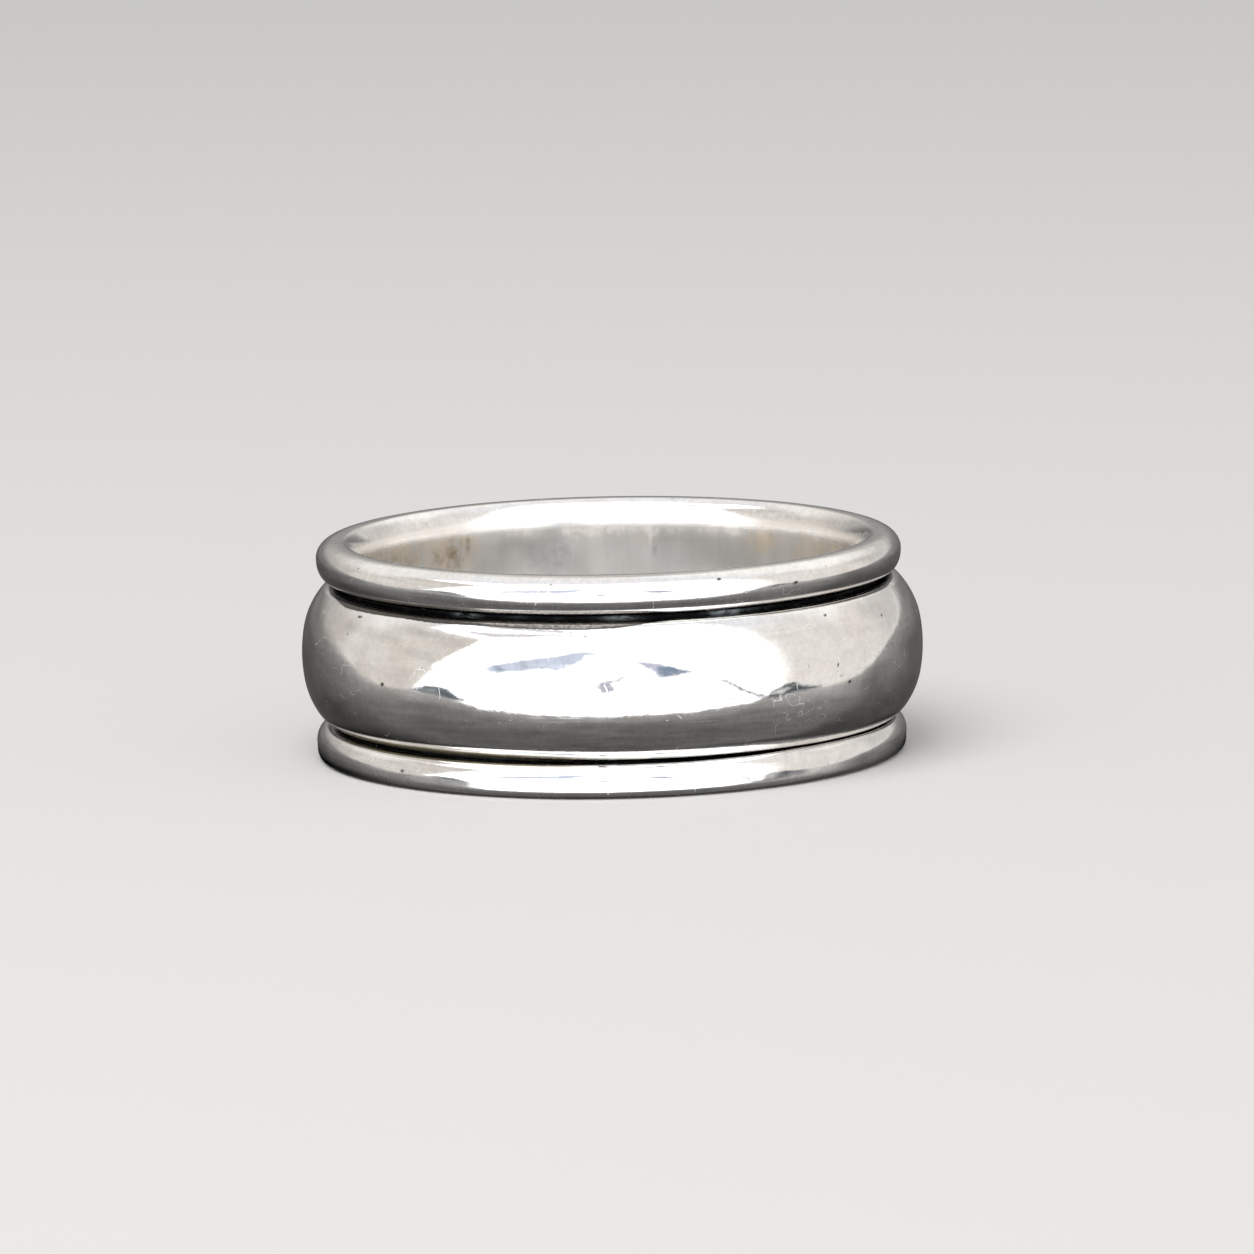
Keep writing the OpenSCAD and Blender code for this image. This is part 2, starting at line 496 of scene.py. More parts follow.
        # The bright lip is a painted highlight
        lay(shareOf("lipHighlightShare"), silver["borePale"])
        lay(shareOf("scuffShare"), rough=silver["scuffedRough"])
    else:
        above = torn(shareOf("overStrip"), "stripTear")
        paler = times(hold(above, "stripPaling"), hold(grain, "stripByGrain"))
        paler = times(paler, shareOf("stripLight"))
        stripTone = blendColours(tree, paler, silver["stripDark"], silver["stripPale"])
        lay(hold(above, "stripHold"), stripTone, silver["stripRough"])
        olive = hold(torn(shareOf("oliveShare"), "oliveTear"), "oliveHold")
        lay(olive, silver["olive"], silver["oliveRough"])

    grime = shareOf("grimeShare")
    dirt = hold(plus(grime, times(grain, silver["grimeTear"])), "grimeHold")
    lay(times(dirt, hold(grime, "grimeReach")), silver["grime"], silver["grimeRough"])

    # The groove is painted near-black as shade, in streaks and with lighter bluish-grey patches
    shadeStreaks = hold(streaks("shadeStreaks"), "shadeStreaksHold")
    grooveShade = blendColours(tree, shadeStreaks, silver["black"], silver["shadeStreakColour"])
    bluishPatches = times(shareOf("bluishPatchesShare"), hold(streaks("bluishPatchStreaks"), "bluishPatchesHold"))
    grooveShade = blendColours(tree, bluishPatches, grooveShade, silver["bluishPatchColour"])
    lay(shareOf("grooveShare"), grooveShade, silver["blackRough"])

    patterns = {"fineScratch": fineScratch, "broadScratch": broadScratch, "grain": grain,
                "dents": noise("dents"), "pits": pits, "specks": specks, "stray": stray}
    height = 0.0
    for title, weight in silver["bumps"].items():
        height = plus(height, times(patterns[title], weight))
    bump = addNode(tree, "Bump", {"Strength": 1.0, "Distance": silver["bumpHeight"], "Height": height})
    shader = addNode(tree, "BsdfPrincipled", {"Metallic": 1.0, "Base Color": look["colour"],
                                              "Roughness": look["rough"], "Normal": bump})
    addNode(tree, "OutputMaterial", {0: shader}, None)
    return material


# Sleeve with its two rims, soldered into one piece

sleeve = {
    "wall": 0.65 * mm,
    "rimRound": 0.66 * mm,
    "footRound": 0.30 * mm,
    "upperRim": (1.47 * mm, 0.21 * mm),  # height, and the flat between its round edges
    "lowerRim": (1.24 * mm, 1.63 * mm),  # height, and thickness from the finger hole outwards
    "grooveCut": 0.01 * mm,
    "edgeWear": 0.025 * mm,
    "rows": 110,
    "columns": 900,
    "rowSteps": (0.3 * mm, 7),  # widest step across the metal, and most degrees of bend in one
    # Hand finishing: depth, length and seed
    "longWaves": (0.007 * mm, 2.4 * mm, 11),
    "shortWaves": (0.0028 * mm, 0.7 * mm, 12),
    # Where the groove's black, which is painted shade, comes in: how far past its sides and within them, and
    # how far outside the finger hole's radius it starts and is complete
    "blackSides": (0.02 * mm, 0.03 * mm),
    "blackInWall": (0.20 * mm, 0.55 * mm),
    "boreFinish": (0.006 * mm, 0.022 * mm),  # the hole's own finish fades out this far outside it
    # Places in degrees and mm, then half width, half height and strength
    "grime": [
        (21.7, 7.80, 0.10, 0.06, 1.0), (47.4, 7.78, 0.05, 0.06, 0.9), (38.5, 7.40, 0.14, 0.04, 0.9),
        (-44.2, 7.44, 0.16, 0.04, 0.9), (-33.7, 7.37, 0.12, 0.04, 0.9), (-11.2, 7.80, 0.08, 0.03, 0.7),
        (-58.4, 7.78, 0.05, 0.05, 0.8), (42.7, 7.69, 0.05, 0.05, 0.8), (-38.1, 7.66, 0.06, 0.04, 0.8),
        (-1.9, 1.19, 0.22, 0.03, 0.7), (4.1, 1.17, 0.20, 0.03, 0.7), (28.8, 0.66, 0.30, 0.05, 0.6),
        (-44.2, 0.70, 0.12, 0.05, 0.8), (96.5, 7.80, 0.14, 0.10, 0.8), (-1.5, 0.66, 0.10, 0.10, 0.4),
    ],
    # On the finger hole, warm marks are painted warm light, brown ones stains, dim ones darker grey, and pale
    # ones painted highlights and a few whitish flakes
    "warm": [(-118, 6.4, 3.6, 2.5, 0.7), (118, 6.4, 2.6, 2.5, 0.6), (-173, 6.9, 0.6, 0.16, 1.0),
             (180, 6.9, 0.7, 0.18, 1.0), (172, 6.7, 0.6, 0.18, 1.0), (-140, 6.6, 1.4, 1.6, 0.6),
             (141, 6.65, 0.9, 0.45, 1.0), (129.5, 6.3, 0.5, 0.4, 0.9), (110, 7.05, 0.7, 0.3, 1.0)],
    "brown": [(-116, 6.6, 2.4, 1.0, 0.34), (-141, 6.45, 0.5, 0.7, 0.6), (-142.4, 6.3, 0.25, 0.45, 0.8),
              (-145.2, 6.7, 0.15, 0.4, 0.5), (-136, 6.3, 0.6, 0.35, 0.5), (144.6, 6.9, 0.15, 0.15, 0.5),
              (138.5, 6.95, 0.15, 0.15, 0.45), (-127, 6.3, 0.8, 0.5, 0.35)],
    "dim": [(-167, 6.0, 1.1, 0.8, 0.55), (-168, 5.85, 0.5, 0.35, 0.7), (-164.5, 5.9, 0.4, 0.3, 0.5),
            (166.5, 6.4, 0.25, 0.16, 0.8), (169, 6.0, 0.12, 0.2, 0.7), (160, 5.8, 1.2, 0.4, 0.3),
            (-118, 6.2, 2.0, 0.7, 0.4), (-153, 6.0, 0.8, 0.6, 0.4)],
    "pale": [(-135.8, 6.36, 0.12, 0.14, 0.9), (-171.7, 5.88, 0.07, 0.2, 1.1), (-172.9, 6.34, 0.07, 0.2, 1.0),
             (-171, 6.85, 0.1, 0.14, 0.9), (179.6, 6.9, 0.1, 0.14, 0.9), (170.1, 6.63, 0.1, 0.14, 0.8),
             (122.9, 7.11, 0.3, 0.2, 1.0), (126.2, 7.31, 0.2, 0.14, 0.8),
             (-178, 6.9, 1.6, 0.28, 0.9), (168, 6.85, 1.2, 0.22, 0.7), (150, 7.0, 1.5, 0.2, 0.7),
             (-160, 7.05, 1.2, 0.2, 0.6)],
    # Lighter bluish-grey patches in the groove's painted shade
    "bluishPatches": [(-31.5, 6.5, 0.35, 0.4, 1.0), (25, 6.5, 0.6, 0.4, 0.9), (2, 6.5, 0.5, 0.4, 0.6)],
    # A bright lip, which is a painted highlight, and a dull one lie on the finger hole's rounded end: height
    # and half height
    "lip": (7.33 * mm, 0.13 * mm),
    "scuffed": (7.36 * mm, 0.22 * mm),
    "lipEnds": (0.15 * mm, 0.30 * mm),  # both end this far outside the hole's radius
    "lipHighlightByTurn": [(-180, 0.3), (-168, 0.4), (-160, 1.0), (-122, 1.0), (-108, 0.7), (-90, 0.5), (0, 0.3),
                  (90, 0.5), (112, 1.0), (146, 1.0), (156, 0.4), (180, 0.3)],
    # The finger hole's upper end is worn to a slope: (slope in degrees, length) of each stretch of it
    "holeEnd": [(90, 0), (45, 0.15 * mm), (12, 0.66 * mm), (0, 0.55 * mm)],
    # The outer walls lean inwards below a height, down to a span under it: slope by turn
    "leanSoftness": 0.06 * mm,
    "leanStart": 0.3 * mm,  # outside the sleeve's wall, where the lean is complete
    "upperLean": (7.50 * mm, 0.50 * mm),
    "upperLeanByTurn": [(-180, 0.05), (-70, 0.08), (-38, 0.08), (-22, 0.04), (21, 0.04), (40, 0.15),
                        (58, 0.16), (78, 0.08), (180, 0.05)],
    "lowerLean": (0.68 * mm, 0.40 * mm),
    "lowerLeanByTurn": [(-180, 0.045), (180, 0.045)],
    # The lower rim's upper edge is bent up by so many mm. Inwards from the edge and down from it, the
    # bend is complete up to the first distance and gone at the second
    "raiseByTurn": [(-180, 0), (15, 0), (30, 0.03), (38, 0.08), (55, 0.075), (70, 0.03), (85, 0), (180, 0)],
    "raiseInwards": (0.03 * mm, 0.20 * mm),
    "raiseDown": (0.02 * mm, 0.35 * mm),
}


def sleeveOutline(boreRadius, ringWidth):
    # The loop goes up the groove, over the upper rim, down the finger hole and under the lower rim
    outerWall = boreRadius + sleeve["wall"]
    rimRound, footRound = sleeve["rimRound"], sleeve["footRound"]
    (upperHeight, upperFlat), (lowerHeight, lowerThickness) = sleeve["upperRim"], sleeve["lowerRim"]
    lowerOuter = boreRadius + lowerThickness
    lowerCentre, upperCentre = lowerOuter - rimRound, boreRadius + rimRound + upperFlat
    innerCentre, footCentre = boreRadius + rimRound, lowerOuter - footRound
    grooveLow, grooveHigh = lowerHeight, ringWidth - upperHeight
    upperArcHeight, wallFoot = ringWidth - rimRound, grooveHigh + rimRound - sleeve["grooveCut"]
    lowerCutDeg = np.degrees(np.arcsin((grooveLow - rimRound) / rimRound))
    upperCutDeg = np.degrees(np.arcsin((grooveHigh - wallFoot) / rimRound))
    lowerCorner = lowerCentre + rimRound * np.cos(np.radians(lowerCutDeg))
    upperCorner = upperCentre + rimRound * np.cos(np.radians(upperCutDeg))
    # The finger hole's upper end is worked out from nothing, then set against the hole's wall
    holeEnd = leaningPoints((0, 0), sleeve["holeEnd"])
    holeEnd = holeEnd - (holeEnd[-1, 0], 0) + (boreRadius, ringWidth)
    runs = [
        linePoints((outerWall, ringWidth / 2), (outerWall, grooveHigh)),
        linePoints((outerWall, grooveHigh), (upperCorner, grooveHigh)),
        arcPoints((upperCentre, wallFoot), rimRound, upperCutDeg, 0),
        linePoints((upperCentre + rimRound, wallFoot), (upperCentre + rimRound, upperArcHeight)),
        arcPoints((upperCentre, upperArcHeight), rimRound, 0, 90),
        linePoints((upperCentre, ringWidth), holeEnd[0]),
        holeEnd,
        linePoints(holeEnd[-1], (boreRadius, rimRound)),
        arcPoints((innerCentre, rimRound), rimRound, 180, 270),
        linePoints((innerCentre, 0), (footCentre, 0)),
        arcPoints((footCentre, footRound), footRound, -90, 0),
        linePoints((lowerOuter, footRound), (lowerOuter, rimRound)),
        arcPoints((lowerCentre, rimRound), rimRound, 0, lowerCutDeg),
        linePoints((lowerCorner, grooveLow), (outerWall, grooveLow)),
        linePoints((outerWall, grooveLow), (outerWall, ringWidth / 2)),
    ]
    return runs, outerWall, (grooveLow, grooveHigh), lowerCorner


def buildSleeve():
    # The worn section carried round, then waved by hand, leant inwards and bent up at one edge
    lowest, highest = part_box("inner_band")
    ringWidth = highest.z - lowest.z
    boreRadius = frame["record"]["mounts"][0]["dims"]["r_mm"] * mm
    runs, outerWall, (grooveLow, grooveHigh), lowerCorner = sleeveOutline(boreRadius, ringWidth)
    section, places, length = wornSection(runs, sleeve["edgeWear"], sleeve["rows"], *sleeve["rowSteps"])
    grid = revolvedGrid(section, 0.0, sleeve["columns"])
    turn = grid[2]
    radius, height = section.T
    # The groove between the rims is painted near-black as shade
    past, within = sleeve["blackSides"]
    inGroove = smoothShare(height, grooveLow - past, grooveLow + within)
    inGroove *= fadeOut(height, grooveHigh - within, grooveHigh + past)
    inGroove *= smoothShare(radius - boreRadius, *sleeve["blackInWall"])
    onBore = fadeOut(radius - boreRadius, *sleeve["boreFinish"])
    spots = finishedByHand(sleeve, grid, places, boreRadius, 1 - inGroove)

    # Inwards by slope * (how far below the start, up to the span), on the outer side of the rims only
    soft = sleeve["leanSoftness"]
    outerSide = smoothShare(radius, outerWall, outerWall + sleeve["leanStart"])
    above, below = height > ringWidth / 2, height < ringWidth / 2
    for title, rimSide in (("upperLean", above), ("lowerLean", below)):
        start, span = sleeve[title]
        reach = softRamp(start - height, soft) - softRamp(start - height - span, soft)
        lean = byTurn(sleeve[title + "ByTurn"], turn)
        moveInwards(spots, turn, (reach * outerSide * rimSide)[:, None] * lean)
    bent = fadeOut(lowerCorner - radius, *sleeve["raiseInwards"]) * below
    bent *= fadeOut(grooveLow - height, *sleeve["raiseDown"])
    spots[:, :, 2] += bent[:, None] * byTurn(sleeve["raiseByTurn"], turn) * mm

    # The bright lip is a painted highlight, and the dull band only changes roughness
    byHole = fadeOut(radius - boreRadius, *sleeve["lipEnds"])
    lip, scuffed = (np.exp(-((height - middle) / reach) ** 2) * byHole
                    for middle, reach in (sleeve["lip"], sleeve["scuffed"]))
    shares = {
        "grooveShare": inGroove[:, None],
        "boreShare": onBore[:, None],
        "grimeShare": ovalMarks(turn, section, sleeve["grime"]) * (1 - onBore)[:, None],
        "lipHighlightShare": lip[:, None] * byTurn(sleeve["lipHighlightByTurn"], turn),
        "scuffShare": scuffed[:, None],
    }
    # Shares of painted warm light, stains, darker grey, painted highlights with flakes, and the groove
    # shade's bluish patches
    for title in ("warm", "brown", "dim", "pale", "bluishPatches"):
        shares[title + "Share"] = ovalMarks(turn, section, sleeve[title])
    silverPiece("sleeveWithRims", spots, (places, length), shares, "inner_band",
                silverMaterial("sleeveSilver", length, True))


# Loose domed band, which turns between the rims

looseBand = {
    "thickness": 1.35 * mm,
    "edgeThickness": 0.43 * mm,
    "crownRadius": 5.5 * mm,
    "crownWidth": 1.9 * mm,
    "edgeBreak": 0.10 * mm,
    "edgeWear": 0.025 * mm,
    "rows": 110,
    "columns": 900,
    "rowSteps": (0.1 * mm, 5),  # widest step across the metal, and most degrees of bend in one
    # Hand finishing: depth, length and seed
    "longWaves": (0.008 * mm, 2.2 * mm, 23),
    "shortWaves": (0.0032 * mm, 0.65 * mm, 24),
    "blackReach": (0.13 * mm, 0.38 * mm),  # the hidden side's black, painted shade, fades out this far from its inner face
    # A tarnished strip runs under the upper edge: its border in degrees and mm, and how light it is
    "stripBorder": [(-90, 6.5), (-74, 6.38), (-64, 6.21), (-55, 6.22), (-45, 6.24), (-36, 6.20),
                    (-27, 6.23), (-21, 6.21), (-16, 6.18), (-11, 6.17), (-5, 6.17), (1, 6.22),
                    (4, 6.28), (7.3, 6.35), (17, 6.5)],
    "stripLight": [(-90, 0.1), (-30, 0.15), (-23, 0.9), (-5, 0.95), (2, 0.6), (8, 0.5), (20, 0.3)],
    # Along the lower edge runs an olive line, which ends between two heights, and its strength by turn
    "oliveTop": (1.51 * mm, 1.61 * mm),
    "oliveByTurn": [(-180, 0), (-78, 0), (-66, 1), (-38, 1), (-28, 0.8), (-10, 0.55), (-4, 0), (180, 0)],
    # The lower edge is worn inwards below a height in mm, and bent up by so many mm, both by turn
    "wearOnset": [(-180, 1.78), (-90, 1.70), (-55, 1.70), (-37, 1.80), (-30, 1.88), (30, 1.88), (37, 1.80),
                  (55, 1.70), (90, 1.70), (180, 1.78)],
    "wearSlope": 0.24,
    "wearSoftness": 0.06 * mm,
    "lift": [(-180, 0.03), (-90, 0.03), (-60, 0.02), (-30, 0.02), (-10, 0), (0, -0.02), (15, -0.03),
             (60, -0.035), (90, -0.02), (120, 0.01), (180, 0.03)],
    "liftSpan": 0.45 * mm,
    # Places in degrees and mm, then half width, half height and strength
    "grime": [
        (-57.3, 6.09, 0.22, 0.05, 0.9), (-46.6, 3.91, 0.10, 0.07, 1.0),
        (-40.7, 5.26, 0.08, 0.04, 0.7), (-59.0, 5.42, 0.06, 0.05, 0.8), (-5.0, 5.97, 0.05, 0.09, 1.0),
        (-3.0, 5.78, 0.05, 0.05, 0.9), (61.9, 5.64, 0.07, 0.07, 1.0), (45.1, 6.06, 0.10, 0.04, 0.9),
        (38.0, 4.38, 0.05, 0.07, 1.0), (45.2, 4.31, 0.05, 0.05, 0.9), (48.2, 3.60, 0.12, 0.06, 0.9),
        (45.9, 3.92, 0.09, 0.09, 0.6), (63.3, 4.61, 0.06, 0.06, 0.8), (-67.0, 3.99, 0.06, 0.06, 0.8),
    ],
    "tangle": [(38, 2.7, 1.7, 0.6, 0.9), (33, 3.3, 0.8, 0.3, 0.9), (12, 3.0, 0.7, 0.15, 0.8),
               (47, 2.4, 0.8, 0.4, 0.7), (-57, 2.6, 0.8, 0.4, 0.6)],
}


def bandOutline(outerRadius, innerRadius, edgeRadius, half):
    # The loop goes up the outside over the crown, and down the inside, with heights from its middle
    crownRadius, edgeBreak = looseBand["crownRadius"], looseBand["edgeBreak"]
    crownCentre = outerRadius - crownRadius
    crownTurn = np.arcsin(looseBand["crownWidth"] / 2 / crownRadius)
    crownWay = np.array([np.cos(crownTurn), np.sin(crownTurn)])
    crownEnd = np.array([crownCentre, 0]) + crownRadius * crownWay
    # The shoulder's circle touches the crown's end and passes through the edge
    toEdge = np.array([edgeRadius, half]) - crownEnd
    shoulderRadius = -(toEdge @ toEdge) / (2 * toEdge @ crownWay)
    shoulderCentre = crownEnd - shoulderRadius * crownWay
    edgeTurn = np.arcsin((half - shoulderCentre[1]) / shoulderRadius)
    shoulder = arcPoints(shoulderCentre, shoulderRadius, np.degrees(crownTurn), np.degrees(edgeTurn))
    # The edge is broken at half the slope that the shoulder has there
    slope = np.tan(edgeTurn / 2)
    kept = half - shoulder[:, 1] > (shoulder[:, 0] - edgeRadius + edgeBreak) * slope
    upper = shoulder[kept]
    crown = arcPoints((crownCentre, 0), crownRadius, -np.degrees(crownTurn), np.degrees(crownTurn))
    lower = upper[::-1] * (1, -1)
    corners = [upper[-1], (edgeRadius - edgeBreak, half), (innerRadius + edgeBreak, half),
               (innerRadius, half - edgeBreak), (innerRadius, 0)]
    upperHalf = [linePoints(a, b) for a, b in zip(corners[:-1], corners[1:])]
    lowerHalf = [run[::-1] * (1, -1) for run in upperHalf[::-1]]
    return [*lowerHalf, np.concatenate([lower, crown[1:-1], upper]), *upperHalf]


def buildLooseBand():
    # The worn section carried round, then waved by hand, worn inwards and bent at the lower edge
    lowest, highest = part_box("spinner_band")
    half, middle = (highest.z - lowest.z) / 2, (highest.z + lowest.z) / 2
    outerRadius, centreX = (highest.x - lowest.x) / 2, (highest.x + lowest.x) / 2
    innerRadius = outerRadius - looseBand["thickness"]
    edgeRadius = innerRadius + looseBand["edgeThickness"]
    runs = [run + (0, middle) for run in bandOutline(outerRadius, innerRadius, edgeRadius, half)]
    section, places, length = wornSection(runs, looseBand["edgeWear"], looseBand["rows"],
                                          *looseBand["rowSteps"])
    grid = revolvedGrid(section, centreX, looseBand["columns"])
    turn = grid[2]
    radius, height = section.T
    # The hidden inner side is painted black as shade
    hidden = fadeOut(radius - innerRadius, *looseBand["blackReach"])
    spots = finishedByHand(looseBand, grid, places, outerRadius, 1 - hidden)

    # Inwards by slope * (how far below the onset)
    ramp = softRamp(byTurn(looseBand["wearOnset"], turn) * mm - height[:, None], looseBand["wearSoftness"])
    byEdge = smoothShare(radius, innerRadius, edgeRadius - looseBand["edgeBreak"])[:, None]
    moveInwards(spots, turn, looseBand["wearSlope"] * ramp * byEdge)
    lowDown = fadeOut(height, lowest.z, lowest.z + looseBand["liftSpan"])[:, None]
    spots[:, :, 2] += byTurn(looseBand["lift"], turn) * mm * lowDown
    underOlive = fadeOut(height, *looseBand["oliveTop"])[:, None]
    shares = {
        "grooveShare": hidden[:, None],
        "grimeShare": ovalMarks(turn, section, looseBand["grime"]),
        "tangleShare": ovalMarks(turn, section, looseBand["tangle"]),
        "oliveShare": underOlive * byTurn(looseBand["oliveByTurn"], turn),
        "overStrip": height[:, None] / mm - byTurn(looseBand["stripBorder"], turn),
        "stripLight": byTurn(looseBand["stripLight"], turn),
    }
    silverPiece("looseBand", spots, (places, length), shares, "spinner_band",
                silverMaterial("bandSilver", length, False))


# What the silver mirrors: a shell of light that nothing else sees. Its places are (azimuth, elevation)
# in degrees, with azimuth 0 towards the camera and +90 towards +X.

mirrored = {
    "radius": 0.9,
    "columns": 400,
    "rows": 240,
    "highest": 89.8,  # elevation of the last row, and the first lies as far down
    "softbox": (2.2, 2.2, 2.2),
    "boxOutline": [(-79, -9.5), (-74, -3), (-70, 3), (-66, 15), (-63, 25), (-60.5, 38), (-60, 44),
                   (-70, 44.5), (-94, 45), (-92, 55), (-73, 60), (-56, 66), (-30, 70), (0, 73), (30, 73),
                   (60, 66), (80, 50), (80, -40), (40, -60), (-40, -60), (-79, -30)],
    "boxSoftness": 1.0,
    "boxFade": (52, 72),  # azimuths between which it fades into the right wall
    "boxTop": (64, 76),  # elevations between which it fades into the ceiling
    "walls": (0.75, 0.715, 0.67),
    "wallsRight": (0.92, 0.885, 0.845),
    "rightStart": (0, 90),  # azimuths between which the right wall comes in, and goes out again
    "rightEnd": (150, 175),
    "wallLevels": [(-180, 0.87), (-165, 0.82), (-150, 0.78), (-125, 0.78), (-115, 1), (-70, 1), (85, 0.97),
                   (115, 0.9), (128, 0.7), (142, 0.7), (165, 0.72), (180, 0.75)],
    "ceiling": (0.97, 0.97, 1.0),
    "ceilingStart": (38, 56),
    # A glow over the horizon behind on the right: strength, height in degrees and azimuths it grows over
    "horizonGlow": 0.12,
    "glowHeight": 3,
    "glowStart": (95, 130),
    "groundLine": [(-180, 13), (-160, 14), (-150, 14), (-135, 8), (-120, 0), (-110, -4), (-100, -8),
                   (-90, -10), (-78, -10), (-70, -10.8), (-64, -13), (-58, -15.5), (-50, -19.5), (-30, -23),
                   (0, -24.5), (30, -23), (45, -20), (60, -16.5), (66, -15.7), (72, -14.1), (85, -13.3),
                   (95, -12), (105, -9), (115, -4), (130, 3), (140, 7), (150, 12), (158, 15), (180, 13)],
    "groundEdge": [(-180, 10), (-150, 10), (-135, 8), (-122, 3), (-115, 1.5), (-90, 1), (0, 0.9), (90, 0.9),
                   (140, 1.2), (150, 4), (165, 4), (180, 6)],
    # Degrees below that line, and how bright the ground is there, at the front and at the back
    "frontTones": [(0, 0.42), (3, 0.31), (8, 0.20), (15, 0.155), (25, 0.125), (45, 0.115), (70, 0.10),
                   (100, 0.06)],
    "backTones": [(0, 0.36), (5, 0.25), (10, 0.19), (15, 0.14), (20, 0.11), (26, 0.09), (35, 0.07),
                  (50, 0.06), (100, 0.03)],
    "backStart": (100, 128),  # azimuths to either side between which the front becomes the back
    "groundSides": [(-180, 0.95), (-128, 0.95), (-100, 1.1), (-85, 1.1), (-40, 1.05), (40, 1.05), (85, 1.25),
                    (100, 1.2), (115, 0.85), (128, 1.1), (180, 1.1)],
    "groundTint": (1.0, 0.975, 0.96),
    # Unevenness: lumps in rows and columns of the shell, seed and strength
    "wallMottle": ((3, 5), 41, 0.05),
    "groundMottle": ((2, 6), 43, 0.08),
    # Cards: corners, colour and softness of the edge
    "cards": [
        ([(-172, 27), (-108, 27), (-108, 58), (-172, 58)], (0.98, 0.95, 0.92), 9.0),
        ([(104, 34), (172, 26), (172, 66), (104, 66)], (1.1, 1.08, 1.05), 9.0),
        ([(177.8, -10), (177.8, 5), (181, 5), (181, -10)], (0.27, 0.27, 0.28), 1.2),
        ([(-181, -10), (-181, 16), (-178, 16), (-178, -10)], (0.45, 0.45, 0.46), 1.5),
        ([(-48.5, 7), (-47, 10.5), (-43.5, 14), (-36, 21), (-28, 25.5), (-20.5, 30), (-12.5, 35.8),
          (-4, 33), (-10, 31), (-11, 25), (-13, 19), (-16, 14), (-20.5, 9.3), (-24, 12), (-31, 10),
          (-41, 7.3), (-45, 6)], (0.70, 0.77, 0.93), 1.0),
        ([(-45, 13), (-43, 14.5), (-40, 8.5), (-42, 7)], (0.34, 0.42, 0.50), 1.0),
        ([(-36.5, 20.5), (-35, 21.5), (-31.5, 12), (-33, 10.5)], (0.52, 0.60, 0.72), 0.8),
        ([(-51.5, 5.5), (-49, 5.7), (-50, 4)], (0.50, 0.47, 0.52), 0.7),
        ([(6.5, 22.5), (12, 19.5), (17.5, 17), (21.5, 12), (25, 9), (30, 6), (25, 5), (21, 3.5), (17.5, 3),
          (15.5, 5.5), (13.5, 10), (10, 16.5)], (0.62, 0.65, 0.78), 0.8),
        ([(16.5, 13.5), (20, 12.5), (23, 10.5), (29.5, 6.3), (24, 5), (20, 4), (16.5, 7)],
         (0.27, 0.34, 0.46), 1.0),
        ([(-7, -2), (-5, 1), (-1, 3), (0, -5), (-4, -7)], (0.52, 0.50, 0.62), 1.0),
        ([(-1, 2), (3, 6), (5, 5), (1, 1)], (0.60, 0.58, 0.70), 0.8),
        ([(29, 6.4), (35, 2.6), (42, -2.2), (46.5, -6.8), (51.5, -11), (58, -15), (58, -16.5), (51, -12.8),
          (46, -8.8), (41.5, -3.6), (35, 2)], (0.10, 0.11, 0.17), 0.6),
        ([(-80, -9.5), (-74, -7), (-72.5, -5.7), (-68, -6.3), (-63.5, -7), (-60.5, -10.5), (-56, -14),
          (-60, -14.6), (-65, -13), (-71, -11.6)], (0.12, 0.145, 0.17), 0.7),
        ([(-76, -9), (-73, -7.9), (-67.5, -8.2), (-70, -9.8)], (0.36, 0.39, 0.41), 0.8),
        ([(55, -17.6), (59, -15.5), (62, -11.5), (65.5, -9.3), (69.5, -8.6), (73, -10.8), (77.5, -11.8),
          (84, -12.8), (79.5, -14.8), (72.5, -15.5), (66, -17), (61.5, -17.8)], (0.09, 0.10, 0.12), 0.7),
        ([(60.5, -14.5), (63.5, -11.8), (69, -11.2), (65, -14.3)], (0.80, 0.80, 0.78), 0.9),
        ([(-97, 53), (-85, 56.5), (-72, 58.5), (-60, 60), (-40, 62.5), (-15, 64), (-15, 65.5), (-40, 65.3),
          (-60, 63), (-72, 62), (-85, 60), (-98, 56)], (0.60, 0.59, 0.61), 0.9),
        ([(-77, 47.5), (-68, 48.5), (-60, 48), (-52, 50), (-38, 56), (-20, 59), (5, 61.5), (-20, 61),
          (-42, 58.5), (-58, 54.5), (-68, 52.5), (-77, 51)], (0.78, 0.76, 0.81), 1.0),
    ],
}


def insideOutline(azimuth, elevation, corners, soft):
    # From 0 outside to 1 inside a closed outline, by the distance in degrees to its nearest side
    points = np.stack([azimuth, elevation], axis=-1)[..., None, :]
    start = np.array(corners, dtype=float)
    step = np.roll(start, -1, axis=0) - start
    share = np.clip(((points - start) * step).sum(axis=-1) / (step ** 2).sum(axis=-1), 0, 1)
    gap = np.linalg.norm(points - start - share[..., None] * step, axis=-1).min(axis=-1)
    # A point is inside where a level line from it crosses the outline an odd number of times
    over = start[:, 1] > points[..., 1]
    nextOver = np.roll(over, -1, axis=-1)
    rise = np.where(step[:, 1] == 0, 1, step[:, 1])
    crossing = start[:, 0] + step[:, 0] * (points[..., 1] - start[:, 1]) / rise
    within = ((over != nextOver) & (points[..., 0] < crossing)).sum(axis=-1) % 2 == 1
    return smoothShare(np.where(within, gap, -gap), -soft, soft)


def mottled(shape, lumps, seed, strength):
    # 1 + strength * random numbers, which are blurred by a bell curve of so many grid steps and
    # brought to a spread of 1
    field = np.fft.rfft2(np.random.default_rng(seed).normal(size=shape))
    down, around = np.fft.fftfreq(shape[0])[:, None], np.fft.rfftfreq(shape[1])[None, :]
    field = np.fft.irfft2(field * bellCurve(down, lumps[0]) * bellCurve(around, lumps[1]), shape)
    return 1 + strength * field / field.std()


